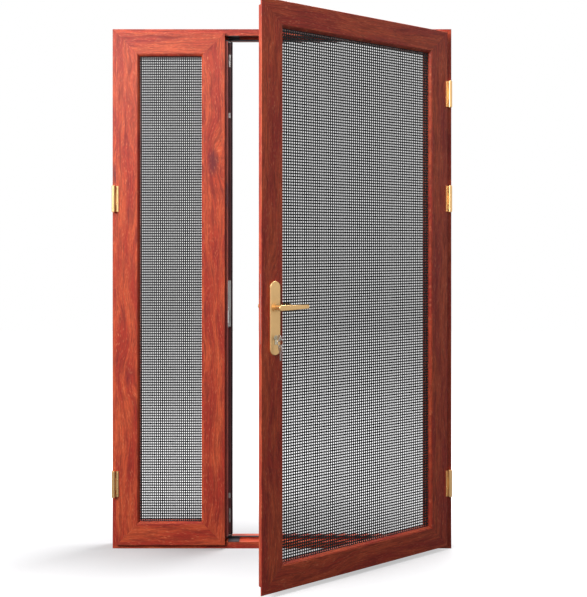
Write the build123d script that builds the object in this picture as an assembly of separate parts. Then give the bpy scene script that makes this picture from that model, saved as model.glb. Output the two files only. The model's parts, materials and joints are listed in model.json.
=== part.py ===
from build123d import *
from math import asin, cos, sin
import os

os.makedirs("parts", exist_ok=True)

# Overall sizes of the door set, and how far the wide leaf stands open
door_width = 1370.0
door_height = 2100.0
narrow_leaf_width = 439.0
open_angle = 35.2

# Extrusions of the fixed frame
frame_face = 26.0
stop_depth = 24.0
stop_lip = 12.0
wall = 1.8
web = 1.4
fixing_hole_radius = 5.0
fixing_distances = (250.0, 850.0)

# Extrusions of the leaves
leaf_depth = 44.0
leaf_proud = 12.0
flange_thickness = 6.5
edge_strip = 16.0
edge_clearance = 7.0
member_face = 86.0
bead_width = 8.0
seat_depth = 14.0
corner_radius = 1.5

# Screens and the beads that hold them
screen_thickness = 1.5
screen_bite = 6.0
bead_step = 2.0
bead_land = 2.0
bead_nose = 4.0
bead_wall = 1.4

# Seals
seal_height = 5.0
seal_width = 5.0
seal_clearance = 5.0

# Meeting of the two leaves
leaf_gap = 6.0
mullion_face = 11.0
mullion_lip_depth = 18.0
mullion_lip_width = 16.0
mullion_end_gap = 6.0
cap_thickness = 4.0

# Hinges
hinge_height = 103.0
middle_knuckle = 48.6
knuckle_radius = 8.0
knuckle_gap = 0.5
pin_radius = 4.0
pin_fit = 0.05
pin_cap_radius = 6.5
pin_cap_height = 2.5
axis_inset = 8.0
axis_proud = 19.0
hinge_plate = 3.0
hinge_wing = 10.0
wing_clearance = 1.5
narrow_hinge_rise = 264.0
wide_hinge_rise = 268.0
middle_hinge_drop = 687.0
top_hinge_drop = 266.0

# Lever handles, backplates and spindle
spindle_height = 1010.0
handle_inset = 53.0
backplate_width = 42.0
backplate_height = 258.0
backplate_top = 91.5
backplate_thickness = 8.0
backplate_bevel = 2.0
collar_radius = 14.0
collar_height = 4.0
neck_radius = 8.5
neck_fit = 0.1
lever_reach = 46.0
lever_length = 122.0
grip_root_radius = 10.0
grip_tip_radius = 7.0
grip_depth = 10.0
grip_bow = 4.0
grip_return = 6.0
grip_bevel = 1.6
spindle_side = 8.0
spindle_fit = 0.1
spindle_hole_radius = 7.0
spindle_socket = 14.0

# Mortise lock and its bolts
forend_width = 24.0
forend_thickness = 3.0
forend_top = 1127.0
forend_bottom = 880.0
case_depth = 60.0
case_thickness = 16.0
case_top = 1060.0
case_bottom = 886.0
case_fit = 0.5
bolt_fit = 0.3
latch_height = 18.0
latch_thickness = 10.0
latch_length = 22.0
latch_out = 6.0
latch_travel = 5.0
latch_flat = 2.5
deadbolt_height = 28.0
deadbolt_thickness = 10.0
deadbolt_length = 26.0
deadbolt_level = 936.0

# Profile cylinder, plug and keys
cylinder_drop = 105.0
cylinder_radius = 8.5
cylinder_stem = 10.0
cylinder_total = 33.0
cylinder_proud = 2.0
cylinder_hole_fit = 0.4
plug_radius = 6.5
plug_fit = 0.05
plug_length = 28.0
key_thickness = 2.2
key_blade_height = 8.4
key_blade_length = 24.0
key_fit = 0.1
key_shank = 7.0
key_cuts = (2.2, 0.9, 2.7, 1.5, 2.0)
key_cut_pitch = 3.8
key_cut_flat = 0.6
key_tip = 2.4
bow_radius = 12.0
bow_hole_radius = 3.5
bow_hole_offset = 6.0
ring_radius = 12.0
ring_wire = 1.0
ring_height = 2.0
ring_slack = 0.3

# Strike, keepers and flush bolts on the meeting mullion
strike_plate_thickness = 2.0
strike_height = 188.0
strike_centre = 988.0
strike_wing = 9.0
strike_box_proud = 5.0
strike_box_height = 50.0
strike_slot_clearance = 4.0
keeper_size = (8.0, 20.0, 3.0)
keeper_rise = 203.0
keeper_drop = 343.0
flush_plate_width = 6.0
flush_plate_thickness = 1.5
flush_plate_rise = (93.0, 150.0)
flush_plate_drop = (145.0, 95.0)
slide_size = (5.0, 2.0, 12.0)
slide_stem = (1.8, 8.0)
slide_gap = 0.3
slide_slot_fit = 0.4
slide_slot_end = 1.0
slide_rib_pitch = 3.0
slide_rib = 0.8
rod_radius = 4.0
rod_bevel = 1.0
rod_fit = 0.1
rod_length = 130.0
rod_out = 1.0
rod_hole_radius = 5.0
rod_travel = 15.0

# Blocks that close the rebate beside the mullion
block_width = 46.0
block_leg = 2.0

# Levels and places that follow from the sizes above
stop_front = leaf_depth - leaf_proud + seal_clearance + seal_height
frame_depth = stop_front + stop_depth
front_y = -frame_depth / 2
leaf_front_y = front_y - leaf_proud
leaf_back_y = leaf_front_y + leaf_depth
flange_overhang = frame_face + edge_clearance - edge_strip
wide_leaf_width = door_width - 2 * edge_strip - leaf_gap - narrow_leaf_width
member_width = member_face + bead_width
axis_y = front_y - axis_proud
axis_x = door_width / 2 - axis_inset
narrow_left = -door_width / 2 + edge_strip
narrow_right = narrow_left + narrow_leaf_width
wide_left = narrow_right + leaf_gap
wide_right = wide_left + wide_leaf_width
wide_edge = wide_left + flange_overhang
leaf_bottom = edge_strip
leaf_top = door_height - edge_strip
mullion_right = narrow_right + mullion_face
lip_front_y = front_y + stop_front
lip_back_y = lip_front_y + mullion_lip_depth
lip_right = mullion_right + mullion_lip_width
mullion_bottom = frame_face + stop_lip + mullion_end_gap
mullion_top = door_height - mullion_bottom
rod_x = (mullion_right + lip_right) / 2
rod_y = (lip_front_y + lip_back_y) / 2
spindle_x = wide_left + handle_inset
lock_y = leaf_front_y + leaf_depth / 2
cylinder_level = spindle_height - cylinder_drop
fixing_heights = fixing_distances + tuple(door_height - distance for distance in fixing_distances)
middle_hinge_height = door_height - middle_hinge_drop
narrow_hinge_heights = (narrow_hinge_rise, middle_hinge_height)
wide_hinge_heights = (wide_hinge_rise, middle_hinge_height, door_height - top_hinge_drop)
keeper_levels = (keeper_rise, door_height - keeper_drop)
flush_plates = (flush_plate_rise, tuple(door_height - drop for drop in flush_plate_drop))
reach = 10 * door_height


def outline(points):
    """Flat face from corner points given as depth and distance from the outer edge."""
    return make_face(Polyline(*points, close=True))


def hollow(face, thickness=wall, web_depth=None):
    """Leaves the wall of an extrusion round its hollow inside, with a web across it at one depth."""
    walls = face - offset(face, -thickness, kind=Kind.INTERSECTION)
    if web_depth is None:
        return walls
    return walls + (face & Pos(web_depth, face.bounding_box().center().Y) * Rectangle(web, reach))


def mitred(section, length):
    """Extrudes a section along X and mitres both ends at 45 degrees, outer edge down."""
    bar = extrude(Plane.YZ * section, amount=length)
    deep = max(vertex.Y for vertex in section.vertices())
    sloped = outline(((0, 0), (length, 0), (length - deep, deep), (deep, deep)))
    return bar & extrude(Plane.XZ * sloped, amount=reach, both=True)


def member(section, side, left, right, bottom, top, front):
    """Places a mitred bar as one side of a rectangle, with its outer edge on the rectangle."""
    length = right - left if side in ("bottom", "top") else top - bottom
    turn = {"bottom": 0, "right": -90, "top": 180, "left": 90}[side]
    corner = {
        "bottom": (left, bottom),
        "right": (right, bottom),
        "top": (right, top),
        "left": (left, top),
    }[side]
    return Pos(corner[0], front, corner[1]) * Rot(0, turn, 0) * mitred(section, length)


def group(pieces):
    """Solids that do not touch, kept together under one name."""
    return Compound([solid for piece in pieces for solid in piece.solids()])


def block(x, y, z):
    """Box from its two limits along each axis."""
    size = (x[1] - x[0], y[1] - y[0], z[1] - z[0])
    return Pos(x[0], y[0], z[0]) * Box(*size, align=(Align.MIN, Align.MIN, Align.MIN))


def rod(radius, y, x, z):
    """Round bar or bore along Y between two depths."""
    bar = Cylinder(radius, y[1] - y[0], align=(Align.CENTER, Align.CENTER, Align.MIN))
    return Pos(x, y[0], z) * Rot(-90, 0, 0) * bar


def upright(radius, z, x, y):
    """Round bar or bore along Z between two heights."""
    bar = Cylinder(radius, z[1] - z[0], align=(Align.CENTER, Align.CENTER, Align.MIN))
    return Pos(x, y, z[0]) * bar


# Sections, drawn with depth along the first axis and distance from the outer edge along the second
frame_outline = outline(
    (
        (0, 0),
        (0, frame_face),
        (stop_front, frame_face),
        (stop_front, frame_face + stop_lip),
        (frame_depth, frame_face + stop_lip),
        (frame_depth, 0),
    )
)
frame_section = hollow(frame_outline, web_depth=stop_front + wall)


def rounded_front(face, distances):
    """Rounds the front edges of a section at the given distances from its outer edge."""
    corners = [v for v in face.vertices() if abs(v.X) < 0.01 and min(abs(v.Y - d) for d in distances) < 0.01]
    return fillet(corners, corner_radius)


flanged_section = hollow(
    rounded_front(
        outline(
            (
                (0, 0),
                (0, member_face),
                (seat_depth, member_face),
                (seat_depth, member_width),
                (leaf_depth, member_width),
                (leaf_depth, flange_overhang),
                (flange_thickness, flange_overhang),
                (flange_thickness, 0),
            )
        ),
        (0, member_face),
    ),
    web_depth=seat_depth + wall,
)
meeting_section = hollow(
    rounded_front(
        outline(
            (
                (0, 0),
                (0, member_face),
                (seat_depth, member_face),
                (seat_depth, member_width),
                (leaf_depth, member_width),
                (leaf_depth, 0),
            )
        ),
        (0, member_face),
    ),
    web_depth=seat_depth + wall,
)
bead_back = seat_depth - screen_thickness
bead_section = hollow(
    outline(
        (
            (bead_step, member_face),
            (bead_step, member_face + bead_land),
            (bead_back - bead_nose, member_width),
            (bead_back, member_width),
            (bead_back, member_face),
        )
    ),
    bead_wall,
)
seal_tip = frame_face + stop_lip
seal_section = make_face(
    Polyline(
        (stop_front - seal_height / 2, seal_tip),
        (stop_front, seal_tip),
        (stop_front, seal_tip - seal_width),
        (stop_front - seal_height / 2, seal_tip - seal_width),
    )
    + ThreePointArc(
        (stop_front - seal_height / 2, seal_tip - seal_width),
        (stop_front - seal_height, seal_tip - seal_width / 2),
        (stop_front - seal_height / 2, seal_tip),
    )
)

# Fixed frame: four mitred lengths of one extrusion
frame_box = (-door_width / 2, door_width / 2, 0, door_height, front_y)
parts = {}
parts["left_jamb"] = member(frame_section, "left", *frame_box)
parts["right_jamb"] = member(frame_section, "right", *frame_box)
parts["head"] = member(frame_section, "top", *frame_box)
parts["sill"] = member(frame_section, "bottom", *frame_box)
fixing_y = front_y + stop_front / 2
for height in fixing_heights:
    for name, side in (("left_jamb", -1), ("right_jamb", 1)):
        drill = Pos(side * door_width / 2, fixing_y, height) * Rot(0, 90, 0)
        parts[name] -= drill * Cylinder(fixing_hole_radius, 3 * frame_face)
for name, z in (("head", door_height - mullion_bottom), ("sill", 0)):
    parts[name] -= upright(rod_hole_radius, (z + wall, z + mullion_bottom - wall), rod_x, rod_y)

sides = ("left", "right", "bottom", "top")
seals = [member(seal_section, side, *frame_box) for side in sides]
parts["frame_seals"] = group(seals)

# Blocks under the head and on the sill, beside the meeting mullion
block_end = mullion_right + block_width
lower_block = block(
    (mullion_right, block_end),
    (front_y, lip_front_y - seal_height),
    (frame_face, frame_face + block_leg),
)
lower_block += block(
    (mullion_right, block_end),
    (lip_front_y - seal_height, lip_front_y),
    (frame_face, frame_face + stop_lip - seal_width),
)
upper_block = Pos(0, 0, door_height) * mirror(lower_block, about=Plane.XY)
parts["rebate_blocks"] = group([lower_block, upper_block])


def leaf_members(prefix, left, right, sections):
    """Four mitred members of a leaf, its beads and its screen panel."""
    box = (left, right, leaf_bottom, leaf_top, leaf_front_y)
    names = {"top": "top_rail", "bottom": "bottom_rail"}
    names.update(sections["names"])
    made = {}
    for side in sides:
        made[prefix + names[side]] = member(sections[side], side, *box)
    beads = {side: member(bead_section, side, *box) for side in sides}
    made[prefix + "side_beads"] = group([beads["left"], beads["right"]])
    made[prefix + "cross_beads"] = group([beads["bottom"], beads["top"]])
    rim = member_width - screen_bite
    made[prefix + "screen"] = block(
        (left + rim, right - rim),
        (leaf_front_y + bead_back, leaf_front_y + seat_depth),
        (leaf_bottom + rim, leaf_top - rim),
    )
    return made


narrow_sections = {side: flanged_section for side in sides}
narrow_sections["right"] = meeting_section
narrow_sections["names"] = {"left": "hinge_stile", "right": "meeting_stile"}
parts.update(leaf_members("narrow_", narrow_left, narrow_right, narrow_sections))
wide_sections = {side: flanged_section for side in sides}
wide_sections["names"] = {"left": "lock_stile", "right": "hinge_stile"}
parts.update(leaf_members("wide_", wide_left, wide_right, wide_sections))

# The meeting stile stops level with the bodies of the rails behind their flanges
behind_flange = (leaf_front_y + flange_thickness, leaf_back_y + wall)
for z in ((0, leaf_bottom + flange_overhang), (leaf_top - flange_overhang, door_height)):
    notch = block((narrow_right - member_width, narrow_right + wall), behind_flange, z)
    parts["narrow_meeting_stile"] -= notch


def hinge_halves(level, side):
    """Frame half, leaf half and pin of a hinge, with side 1 at the right jamb and -1 at the left."""
    half = hinge_height / 2
    low = middle_knuckle / 2 + knuckle_gap / 2
    leaf_plane = axis_proud - leaf_proud
    flange_edge = edge_strip - axis_inset
    frame_web = outline(
        (
            (1 - axis_inset, axis_proud),
            (-knuckle_radius, 0),
            (knuckle_radius * 0.86, knuckle_radius * 0.5),
            (flange_edge - 5, axis_proud - hinge_plate),
            (flange_edge - 5, axis_proud),
        )
    ) + Circle(knuckle_radius)
    plate = block((1 - axis_inset, flange_edge - 5), (axis_proud - hinge_plate, axis_proud), (-half, half))
    ends = extrude(Pos(0, 0, low) * frame_web, amount=half - low)
    frame_half = plate + ends + mirror(ends, about=Plane.XY)
    frame_half -= Cylinder(pin_radius + pin_fit / 2, 2 * hinge_height)
    leaf_half = Cylinder(knuckle_radius, middle_knuckle - knuckle_gap)
    wing_start = flange_edge + wing_clearance
    face = (leaf_plane - hinge_plate, leaf_plane)
    leaf_half += block((0, wing_start), face, (knuckle_gap - low, low - knuckle_gap))
    leaf_half += block((wing_start, flange_edge + hinge_wing), face, (-half, half))
    leaf_half -= Cylinder(pin_radius + pin_fit, 2 * hinge_height)
    profile = outline(
        (
            (0, -half - pin_cap_height),
            (pin_cap_radius - 1, -half - pin_cap_height),
            (pin_cap_radius, -half - pin_cap_height + 1),
            (pin_cap_radius, -half),
            (pin_radius, -half),
            (pin_radius, half),
            (pin_cap_radius, half),
            (pin_cap_radius, half + pin_cap_height - 1),
            (pin_cap_radius - 1, half + pin_cap_height),
            (0, half + pin_cap_height),
        )
    )
    pin = revolve(Plane.XZ * profile, axis=Axis.Z)
    pieces = [frame_half, leaf_half, pin]
    if side > 0:
        pieces = [mirror(piece, about=Plane.YZ) for piece in pieces]
    return [Pos(side * axis_x, axis_y, level) * piece for piece in pieces]


narrow_hinges = [hinge_halves(level, -1) for level in narrow_hinge_heights]
wide_hinges = [hinge_halves(level, 1) for level in wide_hinge_heights]
hinges = narrow_hinges + wide_hinges
parts["hinge_frame_halves"] = group([hinge[0] for hinge in hinges])
parts["hinge_pins"] = group([hinge[2] for hinge in hinges])
parts["narrow_hinge_halves"] = group([hinge[1] for hinge in narrow_hinges])
parts["wide_hinge_halves"] = group([hinge[1] for hinge in wide_hinges])

# Meeting mullion on the edge of the narrow leaf, with the lip that the wide leaf closes against
mullion_z = (mullion_bottom + cap_thickness, mullion_top - cap_thickness)


def tube(x, y, z):
    """Square hollow extrusion along Z."""
    return block(x, y, z) - block((x[0] + wall, x[1] - wall), (y[0] + wall, y[1] - wall), z)


parts["meeting_mullion"] = tube((narrow_right, mullion_right), (front_y, lip_back_y), mullion_z)
parts["mullion_lip"] = tube((mullion_right, lip_right), (lip_front_y, lip_back_y), mullion_z)
caps = []
for z in (mullion_bottom, mullion_top - cap_thickness):
    cap = block((narrow_right, mullion_right), (front_y, lip_back_y), (z, z + cap_thickness))
    cap += block((mullion_right, lip_right), (lip_front_y, lip_back_y), (z, z + cap_thickness))
    cap -= upright(rod_radius + rod_fit, (z - 1, z + cap_thickness + 1), rod_x, rod_y)
    caps.append(cap)
parts["mullion_caps"] = group(caps)
seal_profile = make_face(
    Polyline(
        (lip_right - seal_width, lip_front_y - seal_height / 2),
        (lip_right - seal_width, lip_front_y),
        (lip_right, lip_front_y),
        (lip_right, lip_front_y - seal_height / 2),
    )
    + ThreePointArc(
        (lip_right, lip_front_y - seal_height / 2),
        (lip_right - seal_width / 2, lip_front_y - seal_height),
        (lip_right - seal_width, lip_front_y - seal_height / 2),
    )
)
parts["mullion_seal"] = extrude(Pos(0, 0, mullion_bottom) * seal_profile, amount=mullion_top - mullion_bottom)

# Strike with its box for the deadbolt, and the two keepers
strike_z = (strike_centre - strike_height / 2, strike_centre + strike_height / 2)
strike = block(
    (mullion_right, mullion_right + strike_plate_thickness),
    (front_y + 2, lip_front_y),
    strike_z,
)
strike += block(
    (mullion_right, mullion_right + strike_wing),
    (lip_front_y - strike_plate_thickness, lip_front_y),
    strike_z,
)
strike += block(
    (mullion_right, mullion_right + strike_box_proud),
    (lock_y - forend_width / 2, lock_y + forend_width / 2),
    (deadbolt_level - strike_box_height / 2, deadbolt_level + strike_box_height / 2),
)
slot_half_y = deadbolt_thickness / 2 + strike_slot_clearance
slot_half_z = deadbolt_height / 2 + strike_slot_clearance
strike -= block(
    (mullion_right, mullion_right + 2 * strike_box_proud),
    (lock_y - slot_half_y, lock_y + slot_half_y),
    (deadbolt_level - slot_half_z, deadbolt_level + slot_half_z),
)
strike -= block(
    (mullion_right - 1, mullion_right + strike_plate_thickness + 1),
    (lock_y - latch_thickness / 2 - 2, lock_y + latch_thickness / 2 + 2),
    (spindle_height - latch_height / 2 - 3, spindle_height + latch_height / 2 + 3),
)
keepers = []
for level in keeper_levels:
    keepers.append(
        block(
            (mullion_right, mullion_right + keeper_size[0]),
            (lip_front_y - keeper_size[2], lip_front_y),
            (level - keeper_size[1] / 2, level + keeper_size[1] / 2),
        )
    )
parts["strike_plates"] = group([strike] + keepers)

# Flush bolts: a face plate on the lip, and a rod behind it that a finger slide moves along a slot
plate_x = (mullion_right + strike_plate_thickness, mullion_right + strike_plate_thickness + flush_plate_width)
plate_front = lip_front_y - flush_plate_thickness
slide_x = (plate_x[0] + plate_x[1]) / 2


def centred(middle, size):
    """Two limits of a given size about a middle."""
    return (middle - size / 2, middle + size / 2)


def flush_bolt(plate_z, rod_z, outward):
    """Face plate, rod with its finger slide, and the slot that the slide's stem runs in."""
    plate = block(plate_x, (plate_front, lip_front_y), plate_z)
    rest = (plate_z[0] + plate_z[1]) / 2 - outward * rod_travel / 2
    bar = upright(rod_radius, rod_z, rod_x, rod_y)
    bar = chamfer(bar.edges().group_by(Axis.Z)[-1 if outward > 0 else 0], rod_bevel)
    slide_back = plate_front - slide_gap
    bar += block(centred(slide_x, slide_stem[0]), (slide_back, rod_y), centred(rest, slide_stem[1]))
    slide_front = slide_back - slide_size[1]
    knob = block(centred(slide_x, slide_size[0]), (slide_front, slide_back), centred(rest, slide_size[2]))
    for step in (-1, 0, 1):
        groove = centred(rest + step * slide_rib_pitch, slide_rib)
        knob -= block(centred(slide_x, 2 * slide_size[0]), (slide_front, slide_front + slide_rib), groove)
    slot_z = centred(rest + outward * rod_travel / 2, rod_travel + slide_stem[1] + 2 * slide_slot_end)
    slot_x = centred(slide_x, slide_stem[0] + 2 * slide_slot_fit)
    slot = block(slot_x, (slide_back, lip_front_y + wall + slide_gap), slot_z)
    return plate - slot, bar + knob, slot


bottom_rod_z = (mullion_bottom - rod_out, mullion_bottom - rod_out + rod_length)
top_rod_z = (mullion_top + rod_out - rod_length, mullion_top + rod_out)
bottom_plate, parts["bottom_bolt_rod"], bottom_slot = flush_bolt(flush_plates[0], bottom_rod_z, -1)
top_plate, parts["top_bolt_rod"], top_slot = flush_bolt(flush_plates[1], top_rod_z, 1)
parts["flush_bolt_plates"] = group([bottom_plate, top_plate])
parts["mullion_lip"] -= bottom_slot + top_slot


def cylinder_profile(extra):
    """Outline of the profile cylinder, grown by a fit, centred on its plug."""
    radius = cylinder_radius + extra
    half = cylinder_stem / 2 + extra
    drop = cylinder_total - cylinder_radius - cylinder_stem / 2
    stem = Pos(0, -drop / 2) * Rectangle(2 * half, drop)
    return Circle(radius) + stem + Pos(0, -drop) * Circle(half)


def through_leaf(profile, front, back):
    """Extrudes a profile along Y between two depths, at the cylinder's place."""
    solid = extrude(Plane.XZ * profile, amount=front - back)
    return Pos(spindle_x, front, cylinder_level) * solid


# Lock stile: windows for the lock, spindle and cylinder
lock_hole = through_leaf(cylinder_profile(cylinder_hole_fit), leaf_front_y - 1, leaf_back_y + 1)
forend = block(
    (wide_edge, wide_edge + forend_thickness),
    (lock_y - forend_width / 2, lock_y + forend_width / 2),
    (forend_bottom, forend_top),
)
spindle_hole = rod(spindle_hole_radius, (leaf_front_y - 1, leaf_back_y + 1), spindle_x, spindle_height)
parts["wide_lock_stile"] -= forend + lock_hole + spindle_hole

# Mortise lock: forend and case, with channels for both bolts
case = block(
    (wide_edge + forend_thickness, wide_edge + forend_thickness + case_depth),
    (lock_y - case_thickness / 2, lock_y + case_thickness / 2),
    (case_bottom, case_top),
)
parts["wide_lock_stile"] -= block(
    (wide_edge, wide_edge + forend_thickness + case_depth + case_fit),
    (lock_y - case_thickness / 2 - case_fit, lock_y + case_thickness / 2 + case_fit),
    (case_bottom - case_fit, case_top + case_fit),
)


def bolt(start, length, thickness, height, level, extra=0.0):
    """Bolt or its channel, along X from the leaf's edge inward."""
    return block(
        (start, start + length + extra),
        (lock_y - thickness / 2 - extra, lock_y + thickness / 2 + extra),
        (level - height / 2 - extra, level + height / 2 + extra),
    )


latch_start = wide_edge - latch_out
latch_channel = bolt(
    wide_edge - 1,
    latch_length - latch_out + latch_travel + 2,
    latch_thickness,
    latch_height,
    spindle_height,
    bolt_fit,
)
deadbolt_channel = bolt(
    wide_edge - 1, deadbolt_length + 2, deadbolt_thickness, deadbolt_height, deadbolt_level, bolt_fit
)
parts["mortise_lock"] = forend + case - latch_channel - deadbolt_channel - spindle_hole - lock_hole
latch_outline = outline(
    (
        (latch_start, lock_y - latch_thickness / 2),
        (latch_start, lock_y - latch_thickness / 2 + latch_flat),
        (wide_edge, lock_y + latch_thickness / 2),
        (latch_start + latch_length, lock_y + latch_thickness / 2),
        (latch_start + latch_length, lock_y - latch_thickness / 2),
    )
)
latch = extrude(latch_outline, amount=latch_height)
parts["latch_bolt"] = Pos(0, 0, spindle_height - latch_height / 2) * latch
parts["deadbolt"] = bolt(
    wide_edge, deadbolt_length, deadbolt_thickness, deadbolt_height, deadbolt_level
)


def backplate(face_y, outward):
    """Long bevelled backplate with round ends, a collar for the lever and the cylinder's hole."""
    middle = spindle_height + backplate_top - backplate_height / 2
    shape = Rot(0, 0, 90) * SlotOverall(backplate_height, backplate_width)
    plate = extrude(shape, amount=backplate_thickness)
    outer = plate.faces().sort_by(Axis.Z)[-1]
    plate = chamfer(outer.edges(), backplate_bevel)
    plate = Rot(90, 0, 0) * plate if outward < 0 else Rot(-90, 0, 0) * plate
    plate = Pos(spindle_x, face_y, middle) * plate
    ends = sorted((face_y, face_y + outward * (backplate_thickness + collar_height)))
    plate += rod(collar_radius, ends, spindle_x, spindle_height)
    plate -= rod(neck_radius + neck_fit, (ends[0] - 1, ends[1] + 1), spindle_x, spindle_height)
    return plate - through_leaf(cylinder_profile(cylinder_hole_fit), ends[0] - 1, ends[1] + 1)


parts["outer_backplate"] = backplate(leaf_front_y, -1)
parts["inner_backplate"] = backplate(leaf_back_y, 1)


def bowed_line(y):
    """Gentle arc along the grip, which ends nearer the leaf than it starts."""
    ends = (-grip_root_radius - 1, lever_length + 1)
    return ThreePointArc((ends[0], y), (lever_length / 2, y + grip_bow), (ends[1], y - grip_return))


def lever(face_y, outward):
    """Lever handle: round neck and a bowed grip that tapers to a round tip, with a socket for the spindle."""
    span = lever_length - grip_tip_radius
    lean = asin((grip_root_radius - grip_tip_radius) / span)
    rounds = ((0, grip_root_radius), (span, grip_tip_radius))
    upper = [(x + radius * sin(lean), radius * cos(lean)) for x, radius in rounds]
    lower = [(x, -z) for x, z in reversed(upper)]
    face = Circle(grip_root_radius) + Pos(span, 0) * Circle(grip_tip_radius) + outline(upper + lower)
    inner, outer = bowed_line(lever_reach - grip_depth), bowed_line(lever_reach)
    ends = [Line(inner @ place, outer @ place) for place in (0, 1)]
    plan = make_face([inner, outer, *ends])
    grip = extrude(Plane.XZ * face, amount=-2 * lever_reach) & extrude(plan, amount=member_width, both=True)
    front = grip.faces().filter_by(GeomType.CYLINDER).sort_by(Axis.Y)[-1]
    grip = chamfer(front.edges(), grip_bevel)
    handle = rod(neck_radius, (0, lever_reach - grip_depth / 2), 0, 0) + grip
    if outward < 0:
        handle = mirror(handle, about=Plane.XZ)
    socket = spindle_side + 2 * spindle_fit
    depth = (-1, spindle_socket) if outward > 0 else (-spindle_socket, 1)
    handle -= block((-socket / 2, socket / 2), depth, (-socket / 2, socket / 2))
    return Pos(spindle_x, face_y + outward * 1.0, spindle_height) * handle


parts["outer_lever"] = lever(leaf_front_y, -1)
parts["inner_lever"] = lever(leaf_back_y, 1)
parts["spindle"] = block(
    (spindle_x - spindle_side / 2, spindle_x + spindle_side / 2),
    (leaf_front_y - spindle_socket, leaf_back_y + spindle_socket),
    (spindle_height - spindle_side / 2, spindle_height + spindle_side / 2),
)

# Profile cylinder with its plug
cylinder_front = leaf_front_y - backplate_thickness - cylinder_proud
cylinder_back = leaf_back_y + backplate_thickness + cylinder_proud
barrel = through_leaf(cylinder_profile(0), cylinder_front, cylinder_back)
barrel -= rod(plug_radius, (cylinder_front - 1, cylinder_front + plug_length), spindle_x, cylinder_level)
keyway_x = centred(spindle_x, key_thickness + 2 * key_fit)
keyway_z = centred(cylinder_level, key_blade_height + 2 * key_fit)
barrel -= block(keyway_x, (cylinder_back - key_blade_length, cylinder_back + 1), keyway_z)
parts["lock_cylinder"] = barrel
plug = rod(
    plug_radius - plug_fit,
    (cylinder_front, cylinder_front + plug_length - plug_fit),
    spindle_x,
    cylinder_level,
)
plug -= block(keyway_x, (cylinder_front - 1, cylinder_front + key_blade_length + key_fit), keyway_z)
parts["cylinder_plug"] = plug


def key(blade):
    """Flat key in the YZ plane with cuts along its blade, its bow towards -Y and its hole at the origin."""
    shoulder = bow_hole_offset + bow_radius
    root = shoulder + key_shank
    edge = key_blade_height / 2
    shape = Pos(bow_hole_offset, 0) * Circle(bow_radius)
    shape += Pos(shoulder + key_shank / 2 - 2, 0) * Rectangle(key_shank + 4, key_blade_height + 3)
    point = root + blade
    shape += outline(
        (
            (root - 2, -edge),
            (root - 2, edge),
            (point - key_tip, edge),
            (point, edge - key_tip),
            (point, -edge + key_tip / 2),
            (point - key_tip / 2, -edge),
        )
    )
    for number, depth in enumerate(key_cuts):
        middle = root + (number + 1) * key_cut_pitch
        shape -= outline(
            (
                (middle - key_cut_flat - depth, edge),
                (middle - key_cut_flat, edge - depth),
                (middle + key_cut_flat, edge - depth),
                (middle + key_cut_flat + depth, edge),
            )
        )
    shape -= Circle(bow_hole_radius)
    return extrude(Plane.YZ * shape, amount=key_thickness / 2, both=True)


key_out = bow_hole_offset + bow_radius + key_shank + 1
hole_y = cylinder_front - key_out
parts["key"] = Pos(spindle_x, hole_y, cylinder_level) * key(key_blade_length)
ring_drop = bow_hole_radius - ring_wire - ring_slack
ring_level = cylinder_level - ring_drop - ring_radius
ring = Cylinder(ring_radius + ring_wire, ring_height) - Cylinder(ring_radius - ring_wire, ring_height)
parts["key_ring"] = Pos(spindle_x, hole_y, ring_level) * Rot(90, 0, 0) * ring
second_level = ring_level - ring_radius - ring_drop
parts["hanging_key"] = Pos(spindle_x, hole_y, second_level) * Rot(-90, 0, 0) * key(key_blade_length)

# The wide leaf and all it carries stand open about the hinge pins
carried = (
    "outer_lever",
    "inner_lever",
    "spindle",
    "latch_bolt",
    "deadbolt",
    "mortise_lock",
    "outer_backplate",
    "inner_backplate",
    "lock_cylinder",
    "cylinder_plug",
    "key",
    "key_ring",
    "hanging_key",
)
hinge_axis = Axis((axis_x, axis_y, 0), (0, 0, 1))
for name in parts:
    if name.startswith("wide_") or name in carried:
        parts[name] = parts[name].rotate(hinge_axis, open_angle)

for name, shape in parts.items():
    export_step(shape, f"parts/{name}.step")
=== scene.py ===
"""Looks of an aluminium double-leaf screen door set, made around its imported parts."""

import json
import math

import bpy
import numpy as np
from bpy.props import (
    FloatProperty,
    FloatVectorProperty,
    IntProperty,
    PointerProperty,
)
from mathutils import Matrix, Vector

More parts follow.
